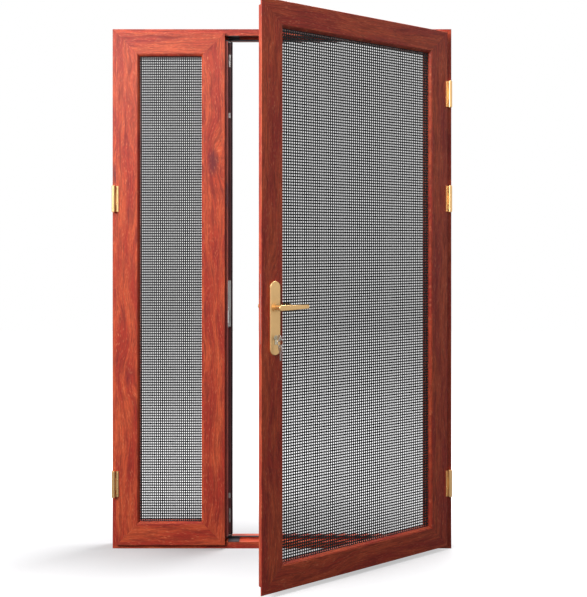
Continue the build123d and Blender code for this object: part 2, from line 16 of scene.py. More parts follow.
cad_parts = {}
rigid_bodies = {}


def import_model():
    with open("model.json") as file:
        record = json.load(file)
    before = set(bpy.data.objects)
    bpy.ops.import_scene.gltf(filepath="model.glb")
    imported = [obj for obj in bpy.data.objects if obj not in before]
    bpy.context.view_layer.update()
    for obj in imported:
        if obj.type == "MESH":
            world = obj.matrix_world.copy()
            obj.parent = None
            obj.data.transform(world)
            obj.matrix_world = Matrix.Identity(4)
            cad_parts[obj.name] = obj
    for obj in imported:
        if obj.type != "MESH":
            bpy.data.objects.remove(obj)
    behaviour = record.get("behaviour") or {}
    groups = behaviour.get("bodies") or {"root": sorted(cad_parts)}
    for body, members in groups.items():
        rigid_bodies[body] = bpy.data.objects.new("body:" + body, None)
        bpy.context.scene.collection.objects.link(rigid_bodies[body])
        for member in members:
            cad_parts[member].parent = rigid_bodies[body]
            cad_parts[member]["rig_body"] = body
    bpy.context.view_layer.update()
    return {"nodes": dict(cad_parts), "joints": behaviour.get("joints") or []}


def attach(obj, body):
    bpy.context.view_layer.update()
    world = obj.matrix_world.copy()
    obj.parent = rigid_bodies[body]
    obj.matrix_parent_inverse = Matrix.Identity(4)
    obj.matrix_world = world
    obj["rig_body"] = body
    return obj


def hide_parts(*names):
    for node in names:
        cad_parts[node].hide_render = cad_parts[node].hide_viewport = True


bl_info = {
    "name": "Screen Door Set",
    "version": (1, 0, 0),
    "blender": (4, 5, 0),
    "location": "3D View > Sidebar > Screen Door",
    "description": "Wood-grain film, woven screens, fittings and studio for a double-leaf screen door set",
    "category": "Object",
}

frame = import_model()

JOINTS = {joint["name"]: joint for joint in frame["joints"]}
SWING = JOINTS["wide_leaf_swing"]
OPEN_ANGLE = -math.radians(SWING["range_deg"][0])
HINGE_LINE = Vector(SWING["pos_m"])
OPENED = (
    Matrix.Translation(HINGE_LINE)
    @ Matrix.Rotation(OPEN_ANGLE, 4, "Z")
    @ Matrix.Translation(-HINGE_LINE)
)
SHUT = OPENED.inverted()
TURNED_BODIES = ("wide_leaf", "lever", "latch", "deadbolt", "key")


def srgb(red, green, blue):
    """Linear colour from the 0 to 255 values that a screen shows."""
    shares = [value / 255 for value in (red, green, blue)]
    return tuple(s / 12.92 if s <= 0.04045 else ((s + 0.055) / 1.055) ** 2.4 for s in shares)


def body_of_node(node):
    """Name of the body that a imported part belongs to."""
    return frame["nodes"][node]["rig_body"]


def shut_box(node):
    """Lowest and highest corner of a part, with the wide leaf turned shut, in metres."""
    mesh = frame["nodes"][node].data
    points = np.empty(len(mesh.vertices) * 3)
    mesh.vertices.foreach_get("co", points)
    points = points.reshape(-1, 3)
    if body_of_node(node) in TURNED_BODIES:
        turn = np.array(SHUT)
        points = points @ turn[:3, :3].T + turn[:3, 3]
    return Vector(points.min(axis=0)), Vector(points.max(axis=0))


# Settings


class WoodFilmSettings(bpy.types.PropertyGroup):
    """Colours and grain of the film on every extrusion."""

    orange: FloatVectorProperty(
        name="Orange",
        description="Lighter colour of the grain",
        subtype="COLOR",
        size=3,
        min=0,
        max=1,
        default=srgb(220, 94, 58),
    )
    red: FloatVectorProperty(
        name="Red",
        description="Main colour of the grain",
        subtype="COLOR",
        size=3,
        min=0,
        max=1,
        default=srgb(182, 54, 42),
    )
    wine: FloatVectorProperty(
        name="Wine",
        description="Colour of the dark streaks",
        subtype="COLOR",
        size=3,
        min=0,
        max=1,
        default=srgb(108, 32, 28),
    )
    knot: FloatVectorProperty(
        name="Knot",
        description="Colour of the knots",
        subtype="COLOR",
        size=3,
        min=0,
        max=1,
        default=srgb(98, 34, 46),
    )
    # Painted shade: grey-purple colour that the meeting mullion's film leans to, standing in for the shade in
    # its recess
    painted_shade: FloatVectorProperty(
        name="Shade",
        description="Colour that the film of the meeting mullion leans to",
        subtype="COLOR",
        size=3,
        min=0,
        max=1,
        default=srgb(138, 106, 112),
    )
    fleck: FloatVectorProperty(
        name="Fleck",
        description="Colour of the pale flecks",
        subtype="COLOR",
        size=3,
        min=0,
        max=1,
        default=srgb(242, 150, 104),
    )
    streak_width: FloatProperty(
        name="Streak Width",
        description="Usual width of a streak in the grain",
        unit="LENGTH",
        min=0.002,
        default=0.014,
    )
    knot_spacing: FloatProperty(
        name="Knot Spacing",
        description="Usual distance from knot to knot across the grain",
        unit="LENGTH",
        min=0.02,
        default=0.15,
    )
    gloss: FloatProperty(
        name="Gloss",
        description="Share of the surroundings that the film reflects, with 0.5 for plain lacquer",
        min=0,
        max=1,
        default=0.3,
    )


class ScreenSettings(bpy.types.PropertyGroup):
    """Wires of the two screens."""

    row_pitch: FloatProperty(
        name="Row Pitch",
        description="Height from one level wire to the next",
        unit="LENGTH",
        min=0.002,
        default=0.0104,
    )
    narrow_pitch: FloatProperty(
        name="Narrow Column Pitch",
        description="Distance between upright wires in the narrow leaf",
        unit="LENGTH",
        min=0.002,
        default=0.0085,
    )
    wide_pitch: FloatProperty(
        name="Wide Column Pitch",
        description="Distance between upright wires in the wide leaf",
        unit="LENGTH",
        min=0.002,
        default=0.0098,
    )
    row_width: FloatProperty(
        name="Level Wire Width",
        description="Width of a flattened level wire",
        unit="LENGTH",
        min=0.0005,
        default=0.0054,
    )
    column_share: FloatProperty(
        name="Upright Wire Share",
        description="Width of a flattened upright wire, as a share of the distance between them",
        subtype="FACTOR",
        min=0.1,
        max=0.9,
        default=0.56,
    )
    wire_thickness: FloatProperty(
        name="Wire Thickness",
        description="Thickness of a wire through the screen",
        unit="LENGTH",
        min=0.0002,
        max=0.0007,
        default=0.0006,
    )
    wire_colour: FloatVectorProperty(
        name="Wire Colour",
        description="Colour of the coated wire",
        subtype="COLOR",
        size=3,
        min=0,
        max=1,
        default=srgb(15, 16, 19),
    )


class FittingSettings(bpy.types.PropertyGroup):
    """Colours of metal fittings, seals and plastic, and the size of screws."""

    gold: FloatVectorProperty(
        name="Gold",
        description="Colour of hinges, backplates and levers",
        subtype="COLOR",
        size=3,
        min=0,
        max=1,
        default=srgb(232, 190, 132),
    )
    steel: FloatVectorProperty(
        name="Steel",
        description="Colour of bolts, keys and plates",
        subtype="COLOR",
        size=3,
        min=0,
        max=1,
        default=srgb(196, 194, 192),
    )
    nickel: FloatVectorProperty(
        name="Nickel",
        description="Colour of the lock cylinder",
        subtype="COLOR",
        size=3,
        min=0,
        max=1,
        default=srgb(220, 208, 178),
    )
    rubber: FloatVectorProperty(
        name="Rubber",
        description="Colour of the seals",
        subtype="COLOR",
        size=3,
        min=0,
        max=1,
        default=srgb(34, 32, 36),
    )
    plastic: FloatVectorProperty(
        name="Plastic",
        description="Colour of the rebate blocks and the mullion's end caps",
        subtype="COLOR",
        size=3,
        min=0,
        max=1,
        default=srgb(40, 34, 38),
    )
    screw_radius: FloatProperty(
        name="Screw Radius",
        description="Radius of a screw head",
        unit="LENGTH",
        min=0.001,
        default=0.0028,
    )
    screw_segments: IntProperty(
        name="Screw Segments",
        description="Divisions round a screw head",
        min=16,
        default=28,
    )


class StudioSettings(bpy.types.PropertyGroup):
    """Camera, lamps and floor."""

    eye: FloatVectorProperty(
        name="Eye",
        description="Place of the camera",
        subtype="TRANSLATION",
        unit="LENGTH",
        size=3,
        default=(0.0466, -3.633, 1.227),
    )
    lens: FloatProperty(
        name="Lens",
        description="Focal length of the camera in millimetres",
        min=10,
        default=53.67,
    )
    rise: FloatProperty(
        name="Rise",
        description="Vertical shift of the view, as a share of its longer side",
        default=-0.0896,
    )
    key_power: FloatProperty(
        name="Key Power",
        description="Power of the main lamp at the front left",
        unit="POWER",
        min=0,
        default=200,
    )
    top_power: FloatProperty(
        name="Top Power",
        description="Power of the lamp above the camera",
        unit="POWER",
        min=0,
        default=14,
    )
    rear_power: FloatProperty(
        name="Rear Power",
        description="Power of the lamp above the back of the door",
        unit="POWER",
        min=0,
        default=230,
    )
    sky: FloatProperty(
        name="Sky",
        description="Strength of the even light from all sides",
        min=0,
        default=0.16,
    )


# Shader nodes


def add_node(tree, kind, inputs=None, **settings):
    """Adds a shader node, sets its options and fills or links its inputs."""
    made = tree.nodes.new(kind)
    for name, value in settings.items():
        setattr(made, name, value)
    for key, value in (inputs or {}).items():
        if isinstance(value, bpy.types.NodeSocket):
            tree.links.new(value, made.inputs[key])
        else:
            made.inputs[key].default_value = value
    return made


def math_node(tree, operation, *values):
    """Result of one sum on numbers or sockets."""
    return add_node(tree, "ShaderNodeMath", dict(enumerate(values)), operation=operation).outputs[0]


# Places of the share, the two colours and the result among a mix node's sockets
MIX_INPUTS = (0, 6, 7)
MIX_RESULT = 2


def mix_colours(tree, share, first, second):
    """Colour between two colours or sockets, each given as three numbers or a socket."""
    made = tree.nodes.new("ShaderNodeMix")
    made.data_type = "RGBA"
    ends = [made.inputs[number] for number in MIX_INPUTS]
    for socket, value in zip(ends, (share, first, second)):
        if isinstance(value, bpy.types.NodeSocket):
            tree.links.new(value, socket)
        elif isinstance(value, (int, float)):
            socket.default_value = value
        else:
            socket.default_value = (*value, 1)
    return made.outputs[MIX_RESULT]


def spread(tree, value, low, high, start=0.0, end=1.0, smooth=False):
    """Stretches a value's range from low and high to start and end."""
    made = add_node(
        tree,
        "ShaderNodeMapRange",
        {0: value, 1: low, 2: high, 3: start, 4: end},
        interpolation_type="SMOOTHSTEP" if smooth else "LINEAR",
    )
    return made.outputs[0]


def stretched(tree, vector, across, along):
    """Pattern coordinates scaled to one count per metre across and one along the grain."""
    made = add_node(tree, "ShaderNodeVectorMath", {0: vector, 1: (across, 1.0, along)}, operation="MULTIPLY")
    return made.outputs[0]


def noise(tree, vector, detail=2.0, roughness=0.5):
    """Noise over coordinates that are already scaled."""
    made = add_node(
        tree,
        "ShaderNodeTexNoise",
        {"Vector": vector, "Scale": 1.0, "Detail": detail, "Roughness": roughness},
    )
    return made.outputs[0]


def new_material(name):
    """Empty material with a surface shader, as its tree and the shader."""
    material = bpy.data.materials.new(name)
    material.use_nodes = True
    tree = material.node_tree
    tree.nodes.clear()
    shader = tree.nodes.new("ShaderNodeBsdfPrincipled")
    output = tree.nodes.new("ShaderNodeOutputMaterial")
    tree.links.new(shader.outputs[0], output.inputs[0])
    return material, tree, shader


def film_coordinates(tree, level, turned, shift):
    """Grain coordinates of a member: across, nothing, along, with its own part of the pattern."""
    place = tree.nodes.new("ShaderNodeTexCoord").outputs["Object"]
    if turned:
        place = add_node(
            tree,
            "ShaderNodeVectorRotate",
            {"Vector": place, "Center": HINGE_LINE, "Angle": -OPEN_ANGLE},
            rotation_type="Z_AXIS",
        ).outputs[0]
    split = add_node(tree, "ShaderNodeSeparateXYZ", {0: place}).outputs
    width, length = (split["Z"], split["X"]) if level else (split["X"], split["Z"])
    across = math_node(tree, "ADD", math_node(tree, "ADD", width, split["Y"]), shift[0])
    along = math_node(tree, "ADD", length, shift[1])
    return add_node(tree, "ShaderNodeCombineXYZ", {0: across, 2: along}).outputs[0]


def voronoi(tree, vector):
    """Cell pattern over coordinates that are already scaled, as its outputs."""
    return add_node(tree, "ShaderNodeTexVoronoi", {"Vector": vector, "Scale": 1.0}).outputs


def softened(tree, radius):
    """Normals that turn over a small radius at sharp edges."""
    return add_node(tree, "ShaderNodeBevel", {"Radius": radius}, samples=4).outputs[0]


def knots_and_grain(tree, place, spacing):
    """Share of knot at each place, and the coordinates of grain that sways and bends round the knots."""
    ragged = noise(tree, stretched(tree, place, 55.0, 24.0), 3.0, 0.6)
    cells = voronoi(tree, stretched(tree, place, 1 / spacing, 0.36 / spacing))
    reach = math_node(tree, "ADD", cells["Distance"], math_node(tree, "MULTIPLY", ragged, 0.13))
    knot = spread(tree, reach, 0.14, 0.27, 1.0, 0.0, smooth=True)
    swirl = spread(tree, reach, 0.05, 0.55, 0.03, 0.0, smooth=True)
    bend = noise(tree, stretched(tree, place, 8.0, 2.4), 2.0)
    ripple = noise(tree, stretched(tree, place, 34.0, 11.0), 1.0)
    split = add_node(tree, "ShaderNodeSeparateXYZ", {0: place}).outputs
    bend = math_node(tree, "MULTIPLY", bend, 0.07)
    ripple = math_node(tree, "MULTIPLY", ripple, 0.011)
    sway = math_node(tree, "ADD", bend, ripple)
    across = math_node(tree, "ADD", math_node(tree, "ADD", split["X"], sway), swirl)
    return knot, add_node(tree, "ShaderNodeCombineXYZ", {0: across, 2: split["Z"]}).outputs[0]


def grain_layer(tree, grain, across, along, low, high, detail=3.0, roughness=0.5):
    """Streaks at counts per metre across and along, none where the noise is low and full where high."""
    return spread(tree, noise(tree, stretched(tree, grain, across, along), detail, roughness), low, high)


def wood_film(name, settings, level, turned, shift, painted_shade_share):
    """Red wood-grain film with bands, streaks, growth lines, knots, flecks and pores along a member, leaning
    by a share to a painted shade colour.
    """
    material, tree, shader = new_material(name)
    place = film_coordinates(tree, level, turned, shift)
    knot, grain = knots_and_grain(tree, place, settings.knot_spacing)
    count = 1 / settings.streak_width
    bands = grain_layer(tree, grain, 0.36 * count, 3.6, 0.4, 0.6)
    streaks = grain_layer(tree, grain, 1.2 * count, 10.0, 0.45, 0.66, 4.0, 0.62)
    threads = grain_layer(tree, grain, 3.4 * count, 24.0, 0.52, 0.66, 3.0, 0.6)
    fine = grain_layer(tree, grain, 9.0 * count, 46.0, 0.3, 0.7, 3.0, 0.65)
    rings = add_node(
        tree,
        "ShaderNodeTexWave",
        {
            "Vector": stretched(tree, grain, 1.0, 0.045),
            "Scale": 34.0,
            "Distortion": 6.0,
            "Detail": 2.0,
            "Detail Scale": 0.7,
        },
        wave_profile="SAW",
    ).outputs["Fac"]
    rings = spread(tree, rings, 0.62, 1.0)
    shine = voronoi(tree, stretched(tree, grain, 4.2 * count, 46.0))["Distance"]
    calm = math_node(tree, "MULTIPLY", fine, math_node(tree, "SUBTRACT", 1.0, streaks))
    flecks = math_node(tree, "MULTIPLY", spread(tree, shine, 0.14, 0.36, 1.0, 0.0), calm)
    pores = grain_layer(tree, grain, 56.0 * count, 38.0, 0.6, 0.68, 1.0)
    colour = mix_colours(tree, bands, settings.orange, settings.red)
    for layer, share, tone in (
        (fine, 0.3, settings.orange),
        (streaks, 0.56, settings.wine),
        (rings, 0.3, settings.wine),
        (threads, 0.4, settings.wine),
        (knot, 0.8, settings.knot),
        (flecks, 0.8, settings.fleck),
        (pores, 0.5, settings.wine),
    ):
        colour = mix_colours(tree, math_node(tree, "MULTIPLY", layer, share), colour, tone)
    # Painted shade: the film leans to the shade colour, standing in for the shade in the meeting mullion's
    # recess
    if painted_shade_share:
        colour = mix_colours(tree, painted_shade_share, colour, settings.painted_shade)
    tree.links.new(colour, shader.inputs["Base Color"])
    shader.inputs["Specular IOR Level"].default_value = settings.gloss
    tree.links.new(spread(tree, streaks, 0.0, 1.0, 0.36, 0.5), shader.inputs["Roughness"])
    height = math_node(tree, "SUBTRACT", math_node(tree, "MULTIPLY", fine, 0.5), pores)
    bump = add_node(
        tree,
        "ShaderNodeBump",
        {"Strength": 0.35, "Distance": 0.00025, "Height": height, "Normal": softened(tree, 0.0012)},
    )
    tree.links.new(bump.outputs[0], shader.inputs["Normal"])
    return material


# Counts per metre of the fine grain in every metal
METAL_GRAIN = 900.0


def metal(name, colour, rough, brushed):
    """Metal with fine brushed lines, at a count per metre along each axis, and slight clouding."""
    material, tree, shader = new_material(name)
    place = tree.nodes.new("ShaderNodeTexCoord").outputs["Object"]
    lines = add_node(tree, "ShaderNodeVectorMath", {0: place, 1: brushed}, operation="MULTIPLY").outputs[0]
    strokes = noise(tree, lines, 2.0, 0.6)
    clouds = noise(tree, stretched(tree, place, 30.0, 30.0), 3.0)
    tint = mix_colours(tree, spread(tree, clouds, 0.3, 0.7, 0.0, 0.35), colour, [0.82 * c for c in colour])
    tree.links.new(tint, shader.inputs["Base Color"])
    shader.inputs["Metallic"].default_value = 1.0
    tree.links.new(spread(tree, strokes, 0.3, 0.7, rough - 0.05, rough + 0.09), shader.inputs["Roughness"])
    grain = noise(tree, stretched(tree, place, METAL_GRAIN, METAL_GRAIN), 1.0)
    height = math_node(tree, "ADD", strokes, math_node(tree, "MULTIPLY", grain, 0.3))
    bump = add_node(
        tree,
        "ShaderNodeBump",
        {"Strength": 0.2, "Distance": 0.00008, "Height": height, "Normal": softened(tree, 0.0005)},
    )
    tree.links.new(bump.outputs[0], shader.inputs["Normal"])
    return material


def dull(name, colour, rough, count, gloss=0.5):
    """Matt rubber, plastic or coating with a fine pebbled skin and faint dusting."""
    material, tree, shader = new_material(name)
    place = tree.nodes.new("ShaderNodeTexCoord").outputs["Object"]
    pebbles = noise(tree, stretched(tree, place, count, count), 2.0)
    dust = noise(tree, stretched(tree, place, 24.0, 9.0), 3.0)
    pale = [min(1.0, 1.7 * c + 0.012) for c in colour]
    tint = mix_colours(tree, spread(tree, dust, 0.4, 0.75), colour, pale)
    tree.links.new(tint, shader.inputs["Base Color"])
    tree.links.new(spread(tree, pebbles, 0.3, 0.7, rough - 0.08, rough + 0.08), shader.inputs["Roughness"])
    shader.inputs["Specular IOR Level"].default_value = gloss
    bump = add_node(tree, "ShaderNodeBump", {"Strength": 0.3, "Distance": 0.00015, "Height": pebbles})
    tree.links.new(bump.outputs[0], shader.inputs["Normal"])
    return material


def dress(node, material):
    """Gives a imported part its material."""
    mesh = frame["nodes"][node].data
    mesh.materials.clear()
    mesh.materials.append(material)


def add_piece(name, points, faces, material, body, smooth=True):
    """Makes a mesh piece from points in metres and lets it ride on a body."""
    mesh = bpy.data.meshes.new(name)
    mesh.from_pydata([tuple(p) for p in points], [], faces)
    mesh.update()
    mesh.materials.append(material)
    if smooth:
        mesh.shade_smooth()
    piece = bpy.data.objects.new(name, mesh)
    bpy.context.scene.collection.objects.link(piece)
    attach(piece, body)
    return piece


# Wood-grain film on the extrusions

UPRIGHT_NODES = (
    "left_jamb",
    "right_jamb",
    "narrow_hinge_stile",
    "narrow_meeting_stile",
    "narrow_side_beads",
    "meeting_mullion",
    "mullion_lip",
    "wide_hinge_stile",
    "wide_lock_stile",
    "wide_side_beads",
)
LEVEL_NODES = (
    "head",
    "sill",
    "narrow_top_rail",
    "narrow_bottom_rail",
    "narrow_cross_beads",
    "wide_top_rail",
    "wide_bottom_rail",
    "wide_cross_beads",
)
# Share of the painted shade colour in the film of each part of the meeting mullion, standing in for the shade
# in its recess between the leaves
MULLION_PAINTED_SHADE = {"meeting_mullion": 0.32, "mullion_lip": 0.85}


class DOORSET_OT_wood_film(bpy.types.Operator):
    """Gives every extrusion its wood-grain film, with the grain along the member"""

    bl_idname = "doorset.wood_film"
    bl_label = "Wood-Grain Film"

    def execute(self, context):
        settings = context.scene.doorset_wood
        for number, node in enumerate(UPRIGHT_NODES + LEVEL_NODES):
            shift = (3.7 * number + 0.31, 1.9 * number)
            turned = body_of_node(node) == "wide_leaf"
            # Only the meeting mullion's parts get a share of painted shade
            painted_shade_share = MULLION_PAINTED_SHADE.get(node, 0.0)
            dress(node, wood_film("film_" + node, settings, node in LEVEL_NODES, turned, shift, painted_shade_share))
        return {"FINISHED"}


# Metal fittings, seals and plastic

GOLD_NODES = (
    "hinge_frame_halves",
    "hinge_pins",
    "narrow_hinge_halves",
    "wide_hinge_halves",
    "outer_backplate",
    "inner_backplate",
    "outer_lever",
    "inner_lever",
)
STEEL_NODES = (
    "mortise_lock",
    "latch_bolt",
    "deadbolt",
    "spindle",
    "strike_plates",
    "flush_bolt_plates",
    "top_bolt_rod",
    "bottom_bolt_rod",
    "key",
    "key_ring",
    "hanging_key",
)
NICKEL_NODES = ("lock_cylinder", "cylinder_plug")
RUBBER_NODES = ("frame_seals", "mullion_seal")
PLASTIC_NODES = ("rebate_blocks", "mullion_caps")


class DOORSET_OT_fittings(bpy.types.Operator):
    """Gives hinges, locks, keys, seals and plastic blocks their finishes"""

    bl_idname = "doorset.fittings"
    bl_label = "Fittings and Seals"

    def execute(self, context):
        settings = context.scene.doorset_fittings
        finishes = (
            (GOLD_NODES, metal("satin_gold", settings.gold, 0.36, (700, 700, 60))),
            (STEEL_NODES, metal("satin_steel", settings.steel, 0.3, (900, 900, 50))),
            (NICKEL_NODES, metal("turned_nickel", settings.nickel, 0.26, (1200, 60, 1200))),
            (RUBBER_NODES, dull("seal_rubber", settings.rubber, 0.62, 1500.0)),
            (PLASTIC_NODES, dull("moulded_plastic", settings.plastic, 0.5, 2200.0)),
        )
        for nodes, finish in finishes:
            for node in nodes:
                dress(node, finish)
        return {"FINISHED"}


# Woven screens

# Strip left bare along a screen's edge, and the gap between two wires where they cross, in metres
SCREEN_EDGE = 0.0008
CROSSING_GAP = 0.00004


def wire_mesh(starts, level_steps, waves, section, level):
    """Points and faces of flat wires side by side, each weaving in front of and behind the others."""
    count = len(section)
    wires, rings = waves.shape
    points = np.empty((wires, rings, count, 3))
    for corner, (side, depth) in enumerate(section):
        points[:, :, corner, 1] = waves + depth
        run, step = (0, 2) if level else (2, 0)
        points[:, :, corner, run] = level_steps[None, :]
        points[:, :, corner, step] = starts[:, None] + side
    faces = []
    for wire in range(wires):
        first = wire * rings * count
        for ring in range(rings - 1):
            here = first + ring * count
            for corner in range(count):
                after = (corner + 1) % count
                quad = (here + corner, here + after, here + count + after, here + count + corner)
                faces.append(quad)
        faces.append(tuple(first + corner for corner in reversed(range(count))))
        last = first + (rings - 1) * count
        faces.append(tuple(last + corner for corner in range(count)))
    return points.reshape(-1, 3), faces


def lens_section(width, thickness):
    """Six corners of a flattened wire, across it and through it."""
    half, shoulder, deep = width / 2, width / 4, thickness / 2
    return (
        (half, 0),
        (shoulder, deep),
        (-shoulder, deep),
        (-half, 0),
        (-shoulder, -deep),
        (shoulder, -deep),
    )


def weave(node, column_pitch, settings):
    """Upright and level wires of one screen, as points and faces with the leaf shut."""
    low, high = shut_box(node)
    middle = (low.y + high.y) / 2
    columns = round((high.x - low.x - 2 * SCREEN_EDGE) / column_pitch)
    rows = round((high.z - low.z - 2 * SCREEN_EDGE) / settings.row_pitch)
    across = np.linspace(low.x + SCREEN_EDGE, high.x - SCREEN_EDGE, columns + 1)
    up = np.linspace(low.z + SCREEN_EDGE, high.z - SCREEN_EDGE, rows + 1)
    xs = (across[1:] + across[:-1]) / 2
    zs = (up[1:] + up[:-1]) / 2
    swing = (settings.wire_thickness + CROSSING_GAP) / 2
    sign = np.where((np.arange(columns)[:, None] + np.arange(rows)[None, :]) % 2, 1.0, -1.0)
    upright = middle + swing * np.pad(sign, ((0, 0), (1, 1)))
    flat = middle - swing * np.pad(sign.T, ((0, 0), (1, 1)))
    level_steps = np.concatenate(([across[0]], xs, [across[-1]]))
    upright_steps = np.concatenate(([up[0]], zs, [up[-1]]))
    thin = lens_section(settings.column_share * column_pitch, settings.wire_thickness)
    thick = lens_section(settings.row_width, settings.wire_thickness)
    return wire_mesh(xs, upright_steps, upright, thin, False), wire_mesh(zs, level_steps, flat, thick, True)


class DOORSET_OT_screens(bpy.types.Operator):
    """Weaves the dark wire screens of both leaves"""

    bl_idname = "doorset.screens"
    bl_label = "Woven Screens"

    def execute(self, context):
        settings = context.scene.doorset_screens
        coating = dull("wire_coating", settings.wire_colour, 0.5, 1800.0, 0.25)
        for leaf, pitch in (("narrow", settings.narrow_pitch), ("wide", settings.wide_pitch)):
            node = leaf + "_screen"
            for label, (points, faces) in zip(("uprights", "levels"), weave(node, pitch, settings)):
                if leaf == "wide":
                    turn = np.array(OPENED)
                    points = points @ turn[:3, :3].T + turn[:3, 3]
                piece = add_piece(f"{leaf}_screen_{label}", points, faces, coating, leaf + "_leaf")
                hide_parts(node)
        return {"FINISHED"}


# Screws

# Heights of a hinge's screws from its middle, and of the hinges' middles, in metres
HINGE_SCREW_SPOTS = (-0.041, -0.016, 0.016, 0.041)
NARROW_HINGE_LEVELS = (0.264, 1.413)
WIDE_HINGE_LEVELS = (0.268, 1.413, 1.834)
# Distance of a wing's middle from the middle of the doorway, and the depth of its face, in metres
WING_MIDDLE = 0.66325
WING_FACE = -0.048
# Place from left to right, depth and heights of the screws in the meeting edge, in metres
STRIKE_SCREWS = (-0.217, -0.02, (0.904, 0.972, 1.072))
KEEPER_SCREWS = (-0.2145, 0.006, (0.203, 1.757))
BOLT_PLATE_SCREWS = (-0.214, 0.0075, (0.0985, 0.1445, 1.9605, 1.9995))
# Radius of the small screws and of the backplate's, as shares of a hinge screw's
SMALL_SCREW = 0.7
PLATE_SCREW = 1.15
# Seed and number of the turns drawn for the crosses, more of them than there are screws
TURN_SEED = 7
TURN_COUNT = 64
TO_FRONT, TO_BACK, TO_LEFT, TO_RIGHT = (0, -1, 0), (0, 1, 0), (-1, 0, 0), (1, 0, 0)


def screw_head(radius, segments):
    """Raised screw head with a cross recess, facing up from level ground, as points and faces."""
    arm, half_width = 0.62 * radius, 0.13 * radius
    corner = math.atan2(half_width, arm)
    right = math.pi / 2
    angles = {round(number * 2 * math.pi / segments, 6) for number in range(segments)}
    for quarter in range(4):
        for turn in (-corner, corner, right / 2):
            angles.add(round((quarter * right + turn) % (2 * math.pi), 6))
    angles = sorted(angles)

    def cross(angle):
        """Distance from the middle to the edge of the cross recess."""
        turn = abs((angle + right / 2) % right - right / 2)
        if turn <= corner + 1e-5:
            return arm / math.cos(turn)
        return half_width / math.sin(turn)

    rings = (
        (-0.1, lambda angle: radius),
        (0.06, lambda angle: radius),
        (0.24, lambda angle: 0.9 * radius),
        (0.34, lambda angle: 0.76 * radius),
        (0.38, lambda angle: 1.04 * cross(angle)),
        (0.06, lambda angle: 0.8 * cross(angle)),
    )
    points = []
    for rise, reach in rings:
        for angle in angles:
            points.append((reach(angle) * math.cos(angle), reach(angle) * math.sin(angle), rise * radius))
    count = len(angles)
    faces = []
    for ring in range(len(rings) - 1):
        for spot in range(count):
            here, after = ring * count + spot, ring * count + (spot + 1) % count
            faces.append((here, after, after + count, here + count))
    points.append((0, 0, 0.02 * radius))
    last = (len(rings) - 1) * count
    for spot in range(count):
        faces.append((last + spot, last + (spot + 1) % count, len(points) - 1))
    return points, faces


def screws(spots, segments, turned):
    """Screw heads at their places, each given as middle, outward direction, radius and turn of its cross."""
    points, faces = [], []
    for middle, outward, radius, turn in spots:
        head, head_faces = screw_head(radius, segments)
        lift = Vector(outward).to_track_quat("Z", "Y").to_matrix().to_4x4()
        place = Matrix.Translation(middle) @ lift @ Matrix.Rotation(math.radians(turn), 4, "Z")
        if turned:
            place = OPENED @ place
        first = len(points)
        points += [place @ Vector(point) for point in head]
        faces += [tuple(first + corner for corner in face) for face in head_faces]
    return points, faces


class DOORSET_OT_screws(bpy.types.Operator):
    """Sets the cross-head screws of hinges, lock, strike and flush bolts"""

    bl_idname = "doorset.screws"
    bl_label = "Screws"

    def execute(self, context):
        settings = context.scene.doorset_fittings
        big, small = settings.screw_radius, SMALL_SCREW * settings.screw_radius
        gold = metal("gold_screws", settings.gold, 0.3, (1500, 1500, 1500))
        steel = metal("steel_screws", settings.steel, 0.28, (1500, 1500, 1500))
        turns = iter(np.random.default_rng(TURN_SEED).uniform(0, 90, TURN_COUNT).round(1).tolist())
        narrow_spots = self.hinge_spots(-1, NARROW_HINGE_LEVELS, big)
        wide_spots = self.hinge_spots(1, WIDE_HINGE_LEVELS, big)
        groups = (
            ("narrow_hinge_screws", "narrow_leaf", narrow_spots, gold, "gold"),
            ("wide_hinge_screws", "wide_leaf", wide_spots, gold, "gold"),
            ("backplate_screws", "wide_leaf", self.plate_spots(PLATE_SCREW * big), gold, "gold"),
            ("forend_screws", "wide_leaf", self.forend_spots(big), steel, "steel"),
            ("strike_screws", "narrow_leaf", self.strike_spots(big, small), steel, "steel"),
        )
        for name, body, spots, finish, slot in groups:
            spots = [(*spot, next(turns)) for spot in spots]
            points, faces = screws(spots, settings.screw_segments, body in TURNED_BODIES)
            add_piece(name, points, faces, finish, body, smooth=False)
        return {"FINISHED"}

    def hinge_spots(self, side, levels, radius):
        """Screws of the wings on a leaf's front."""
        x = side * WING_MIDDLE
        heights = [level + spot for level in levels for spot in HINGE_SCREW_SPOTS]
        return [((x, WING_FACE, height), TO_FRONT, radius) for height in heights]

    def plate_spots(self, radius):
        """Two screws of the inner backplate, near its ends."""
        low, high = shut_box("inner_backplate")
        x, inset, collar = (low.x + high.x) / 2, 0.016, 0.004
        return [((x, high.y - collar, z), TO_BACK, radius) for z in (low.z + inset, high.z - inset)]

    def forend_spots(self, radius):
        """Two screws of the lock's forend, near its ends."""
        low, high = shut_box("mortise_lock")
        y, inset = (low.y + high.y) / 2, 0.009
        return [((low.x, y, z), TO_LEFT, radius) for z in (low.z + inset, high.z - inset)]

    def strike_spots(self, big, small):
        """Screws of the strike, the two keepers and the flush bolts' plates."""
        spots = []
        for (x, y, heights), outward, radius in (
            (STRIKE_SCREWS, TO_RIGHT, big),
            (KEEPER_SCREWS, TO_FRONT, small),
            (BOLT_PLATE_SCREWS, TO_FRONT, small),
        ):
            spots += [((x, y, height), outward, radius) for height in heights]
        return spots


# Studio

# Width of the camera's sensor, in millimetres
SENSOR_WIDTH = 36
# Each lamp's place, the point that it faces and the side of its square, in metres
KEY_LAMP = ((-2.9, -2.9, 2.9), (-0.2, 0, 1.2), 1.6)
TOP_LAMP = ((-0.7, -3.3, 3.2), (-0.4, 0, 1.9), 1.0)
REAR_LAMP = ((0.8, 0.5, 4.8), (-0.2, -0.2, 0), 1.4)
